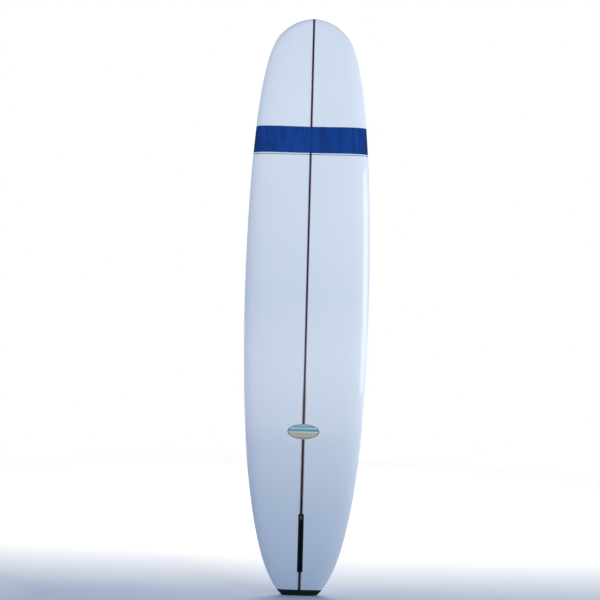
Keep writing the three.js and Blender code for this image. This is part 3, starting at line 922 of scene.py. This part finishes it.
def wood_finish():
    """Dark redwood, near black toward the tail; lighter and bluer further up, a painted reflection in its
    gloss.
    """
    f = Finish("redwood_stringer", **{**GLOSS, "Roughness": 0.4, "Coat_Weight": 0.5})
    z = f.math("DIVIDE", f.axis("Z"), LENGTH * MM)
    # painted reflection: the tone turns lighter and bluer from a third of the length on toward the nose
    tone = f.ramp(
        z,
        (0.0, (0.004, 0.003, 0.009)),
        (0.33, (0.006, 0.004, 0.010)),
        (0.40, (0.040, 0.034, 0.058)),
        (0.70, (0.036, 0.032, 0.054)),
        (1.0, (0.018, 0.016, 0.032)),
    )
    grain = f.noise(520, 6.0, f.scaled(1.0, 1.0, 0.02), roughness=0.65, distortion=0.3)
    pores = f.noise(1500, 2.0, f.scaled(1.0, 1.0, 0.05))
    tint = f.mix(f.span(grain, 0.35, 0.65), tone, f.mix(0.35, tone, (0.07, 0.028, 0.024)))
    tint = f.mix(f.span(pores, 0.6, 0.75, 0.0, 0.6), tint, (0.004, 0.002, 0.003))
    f.set("Base Color", tint)
    f.set("Roughness", f.span(grain, 0.3, 0.7, 0.3, 0.5))
    f.bump((f.noise(5.5, 2.0), 0.15), (grain, 0.004))
    return f.made


def glue_finish():
    f = Finish("glue_line", **{**GLOSS, "Roughness": 0.4})
    patches = f.noise(7, 4.0, f.scaled(1.0, 1.0, 0.4))
    high = f.mix(f.span(patches, 0.4, 0.65), (0.28, 0.10, 0.24), (0.36, 0.07, 0.16))
    tint = f.mix(f.span(f.axis("Z"), 0.90, 1.02), (0.06, 0.018, 0.028), high)
    f.set("Base Color", f.mix(f.span(f.noise(600, 3.0), 0.4, 0.7, 0, 0.5), tint, (0.05, 0.02, 0.03)))
    f.bump((f.noise(5.5, 2.0), 0.15), (f.noise(900, 2.0), 0.002))
    return f.made


def block_finish():
    f = Finish("tail_block_resin", **{**GLOSS, "Roughness": 0.4, "Coat_Weight": 0.5})
    swirl = f.noise(22, 4.0, distortion=1.0)
    tint = f.mix(f.span(swirl, 0.35, 0.7), (0.002, 0.004, 0.009), (0.004, 0.007, 0.014))
    near_end = f.span(f.axis("Z"), 0.0, 0.006, 0.9, 0.0)
    worn = f.math("MULTIPLY", near_end, f.span(f.noise(190, 5.0, roughness=0.7), 0.5, 0.72))
    f.set("Base Color", f.mix(worn, tint, (0.02, 0.023, 0.03)))
    f.set("Roughness", f.math("MULTIPLY_ADD", worn, 0.4, 0.24))
    f.bump((f.noise(12, 2.0), 0.12), (f.noise(400, 4.0), 0.006), (worn, 0.05))
    return f.made


def badge_finish():
    """A plain striped oval with a dark edge."""
    f = Finish("striped_badge", **GLOSS)
    up = f.math("SUBTRACT", f.axis("Z"), BADGE_Z * MM)
    stripes = f.ramp(
        f.span(up, -BADGE_HIGH * MM, BADGE_HIGH * MM),
        (0.0, (0.36, 0.34, 0.26)),
        (0.16, (0.50, 0.47, 0.34)),
        (0.44, (0.70, 0.76, 0.78)),
        (0.50, (0.06, 0.33, 0.43)),
        (0.68, (0.62, 0.76, 0.82)),
        (0.74, (0.10, 0.40, 0.50)),
        (0.90, (0.45, 0.62, 0.68)),
        interpolation="CONSTANT",
    )
    across = f.math("DIVIDE", f.axis("X"), BADGE_WIDE * MM)
    high = f.math("DIVIDE", up, BADGE_HIGH * MM)
    radius = f.from_middle(across, high)
    rim = f.span(radius, 0.905, 0.925)
    tint = f.mix(rim, stripes, (0.05, 0.09, 0.12))
    tint = f.mix(f.span(radius, 0.965, 0.98), tint, (0.60, 0.68, 0.74))
    fibres = f.noise(700, 4.0, f.scaled(1.0, 1.0, 0.3))
    f.set("Base Color", f.mix(f.span(fibres, 0.4, 0.7, 0, 0.18), tint, (0.5, 0.58, 0.62)))
    f.set("Roughness", f.span(fibres, 0.3, 0.7, 0.25, 0.4))
    gloss_bump(f)
    return f.made


def plastic_finish(name, dark, light, roughness=0.42):
    f = Finish(name, Roughness=roughness, IOR=1.5, Specular_IOR_Level=0.22)
    mottle = f.noise(160, 4.0)
    sanded = f.noise(900, 3.0, f.scaled(1.0, 1.0, 0.05))
    tint = f.mix(f.span(mottle, 0.35, 0.7), dark, light)
    f.set("Base Color", f.mix(f.span(sanded, 0.62, 0.75, 0, 0.25), tint, (0.03, 0.033, 0.04)))
    f.set("Roughness", f.span(sanded, 0.3, 0.7, roughness - 0.08, roughness + 0.14))
    f.bump((f.noise(2200, 3.0), 0.012), (sanded, 0.006))
    return f.made


def steel_finish(name, along, tone):
    f = Finish(name, Metallic=1.0, Roughness=0.3)
    brushed = f.noise(2600, 3.0, f.scaled(*along))
    spots = f.span(f.noise(500, 4.0), 0.66, 0.76, 0, 0.5)
    tint = f.mix(f.span(brushed, 0.3, 0.7), tone, tuple(0.82 * c for c in tone))
    f.set("Base Color", f.mix(spots, tint, (0.32, 0.27, 0.22)))
    f.set("Roughness", f.math("MULTIPLY_ADD", spots, 0.35, f.span(brushed, 0.3, 0.7, 0.2, 0.36)))
    f.bump((brushed, 0.004), (f.noise(500, 3.0), 0.01))
    return f.made


def foam_finish():
    f = Finish("shaped_foam", Roughness=0.85)
    cells = f.node("ShaderNodeTexVoronoi")
    f.feed(cells.inputs["Vector"], f.place)
    cells.inputs["Scale"].default_value = 2600
    tint = f.mix(f.span(f.noise(6, 3.0), 0.35, 0.65), (0.80, 0.83, 0.84), (0.76, 0.79, 0.80))
    walls = f.span(cells.outputs["Distance"], 0.0, 0.6, 0.25, 0.0)
    f.set("Base Color", f.mix(walls, tint, (0.60, 0.62, 0.60)))
    f.bump((cells.outputs["Distance"], 0.05), (f.noise(90, 3.0, f.scaled(1.0, 1.0, 0.2)), 0.03))
    return f.made


def cloth_finish():
    f = Finish("deck_patch_cloth", Roughness=0.4, Coat_Weight=0.4, Coat_Roughness=0.2)
    threads = f.weave()
    f.set("Base Color", f.mix(threads, (0.70, 0.74, 0.78), (0.78, 0.82, 0.86)))
    f.set("Roughness", f.span(f.noise(200, 3.0), 0.3, 0.7, 0.35, 0.55))
    f.bump((threads, 0.03))
    return f.made


# ---------------------------------------------------------------- the pieces


def finish_piece(obj, slot, material, *stands_for, body="board"):
    obj.data.materials.clear()
    obj.data.materials.append(material)
    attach(obj, body)
    if stands_for:
        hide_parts(*stands_for)


HULL_LIGHT, HULL_SHADE = (0.765, 0.835, 0.92), (0.735, 0.81, 0.905)
DECK_LIGHT, DECK_SHADE = (0.775, 0.84, 0.92), (0.745, 0.815, 0.905)
hull = laminate_finish("hull_laminate", HULL_LIGHT, HULL_SHADE)
deck = laminate_finish("deck_laminate", DECK_LIGHT, DECK_SHADE)
blue = band_finish("band_resin", (0.004, 0.044, 0.25), (0.006, 0.054, 0.29))
line_blue = band_finish("pinline_resin", (0.012, 0.040, 0.17), (0.016, 0.052, 0.21))
black = plastic_finish("fin_box_plastic", (0.002, 0.003, 0.007), (0.004, 0.006, 0.011))

finish_piece(hull_skin(), "laminate", hull, "bottom_glass")
finish_piece(deck_skin(), "laminate", deck, "deck_glass")
finish_piece(wrapped_inlay("blue_band_hull", BAND), "band_resin", blue, "color_band_bottom")
finish_piece(deck_inlay("blue_band_deck", BAND), "band_resin", blue, "color_band_deck")
finish_piece(wrapped_inlay("thin_line_hull", PINLINE), "pinline_resin", line_blue, "pinline_bottom")
finish_piece(deck_inlay("thin_line_deck", PINLINE), "pinline_resin", line_blue, "pinline_deck")
finish_piece(badge_plate(), "badge_print", badge_finish(), "badge")
finish_piece(deck_cloth(), "patch_cloth", cloth_finish(), "deck_patch")
plank = upright("stringer_plank", -STRINGER_HALF, STRINGER_HALF)
finish_piece(plank, "stringer_wood", wood_finish(), "stringer")
glue = glue_finish()
finish_piece(upright("glue_seam_left", -GLUE_HALF, -STRINGER_HALF, 1), "glue", glue, "glue_line_left")
finish_piece(upright("glue_seam_right", STRINGER_HALF, GLUE_HALF, 1), "glue", glue, "glue_line_right")
finish_piece(tail_block(), "block_resin", block_finish(), "tail_block")

box_piece = refined("fin_box", "fin_box_moulded", 0.35, change=follow_bottom, cuts=22)
finish_piece(box_piece, "fin_box_plastic", black, "fin_box")
# painted shade: the plate's steel, and less so the screw's, is set far darker than bare steel, for their
# place down in the slot of the fin box
plate_steel = steel_finish("plate_steel", (1.0, 1.0, 0.05), (0.14, 0.145, 0.155))
plate = refined("fin_plate", "fin_plate_eased", 0.3)
finish_piece(plate, "plate_steel", plate_steel, "fin_plate", body="fin_plate")
screw_steel = steel_finish("screw_steel", (1.0, 0.1, 1.0), (0.30, 0.31, 0.33))
finish_piece(fin_screw(), "screw_steel", screw_steel, "fin_screw", body="fin_screw")
plug_black = plastic_finish("leash_plug_plastic", (0.010, 0.011, 0.013), (0.016, 0.018, 0.020), 0.36)
finish_piece(leash_cup(), "plug_plastic", plug_black, "leash_plug_cup")
pin_steel = steel_finish("pin_steel", (0.05, 1.0, 1.0), (0.68, 0.69, 0.70))
finish_piece(pin_rod("leash_pin", 2.0, 24.0), "pin_steel", pin_steel, "leash_plug_pin")

foam_look = foam_finish()
for name in ("foam_left", "foam_right"):
    nodes[name].data.materials.clear()
    nodes[name].data.materials.append(foam_look)

# ---------------------------------------------------------------- stage and light


def floor():
    """A pale round floor that glows a little away from the board and fades out at its edge."""
    bpy.ops.mesh.primitive_circle_add(vertices=96, radius=5.2, fill_type="NGON")
    made = bpy.context.object
    made.name = "studio_floor"
    f = Finish("studio_floor", Roughness=0.9)
    cloudy = f.span(f.noise(3, 2.0), 0.3, 0.7)
    f.set("Base Color", f.mix(cloudy, (0.86, 0.86, 0.86), (0.84, 0.84, 0.845)))
    away = f.from_middle(f.axis("X"), f.axis("Y"))
    f.set("Alpha", f.span(away, 3.2, 5.1, 1.0, 0.0))
    f.shader.inputs["Emission Color"].default_value = (1, 0.88, 0.66, 1)
    behind = f.span(f.axis("Y"), 0.0, 1.0, 0.0, 0.6)
    f.set("Emission Strength", f.math("MAXIMUM", behind, f.span(away, 1.2, 2.6, 0.0, 0.45)))
    made.data.materials.append(f.made)


def area_light(name, place, aim, size, watts, colour, spread=180):
    data = bpy.data.lights.new(name, "AREA")
    data.shape = "RECTANGLE"
    data.size, data.size_y = size
    data.energy = watts
    data.color = colour
    data.spread = math.radians(spread)
    made = bpy.data.objects.new(name, data)
    bpy.context.scene.collection.objects.link(made)
    made.location = place
    made.rotation_mode = "QUATERNION"
    made.rotation_quaternion = (Vector(aim) - Vector(place)).to_track_quat("-Z", "Y")


def studio_world():
    """A soft blue sky and bright ground light the board; the camera sees plain white behind it."""
    world = bpy.data.worlds.new("studio")
    bpy.context.scene.world = world
    world.use_nodes = True
    tree = world.node_tree
    tree.nodes.remove(tree.nodes["Background"])

    def background(colour, strength):
        made = tree.nodes.new("ShaderNodeBackground")
        made.inputs["Color"].default_value = (*colour, 1)
        made.inputs["Strength"].default_value = strength
        return made.outputs[0]

    def mixed(share, low, high):
        made = tree.nodes.new("ShaderNodeMixShader")
        for socket, value in zip(made.inputs, (share, low, high)):
            tree.links.new(value, socket)
        return made.outputs[0]

    direction = tree.nodes.new("ShaderNodeSeparateXYZ")
    tree.links.new(tree.nodes.new("ShaderNodeTexCoord").outputs["Generated"], direction.inputs[0])
    above = tree.nodes.new("ShaderNodeMapRange")
    tree.links.new(direction.outputs["Z"], above.inputs["Value"])
    above.inputs["From Min"].default_value, above.inputs["From Max"].default_value = -0.03, 0.06
    around = mixed(above.outputs[0], background(GROUND, 1.70), background(SKY, 0.27))
    seen = tree.nodes.new("ShaderNodeLightPath").outputs["Is Camera Ray"]
    surround = mixed(seen, around, background((1, 1, 1), 1.0))
    tree.links.new(surround, tree.nodes["World Output"].inputs["Surface"])


SKY = (0.36, 0.70, 1.36)
GROUND = (1.05, 1.0, 0.945)
WARM = (0.99, 1.0, 0.91)
floor()
studio_world()
area_light("side", (3.2, -2.4, 1.9), (0.0, 0.0, 1.7), (2.4, 2.8), 31.5, WARM, 120)
area_light("back", (0.0, 2.2, 3.6), (0.0, 2.2, 0.0), (6.5, 3.6), 60.0, (1.0, 0.97, 0.92), 90)

bpy.context.scene.view_settings.view_transform = "Standard"
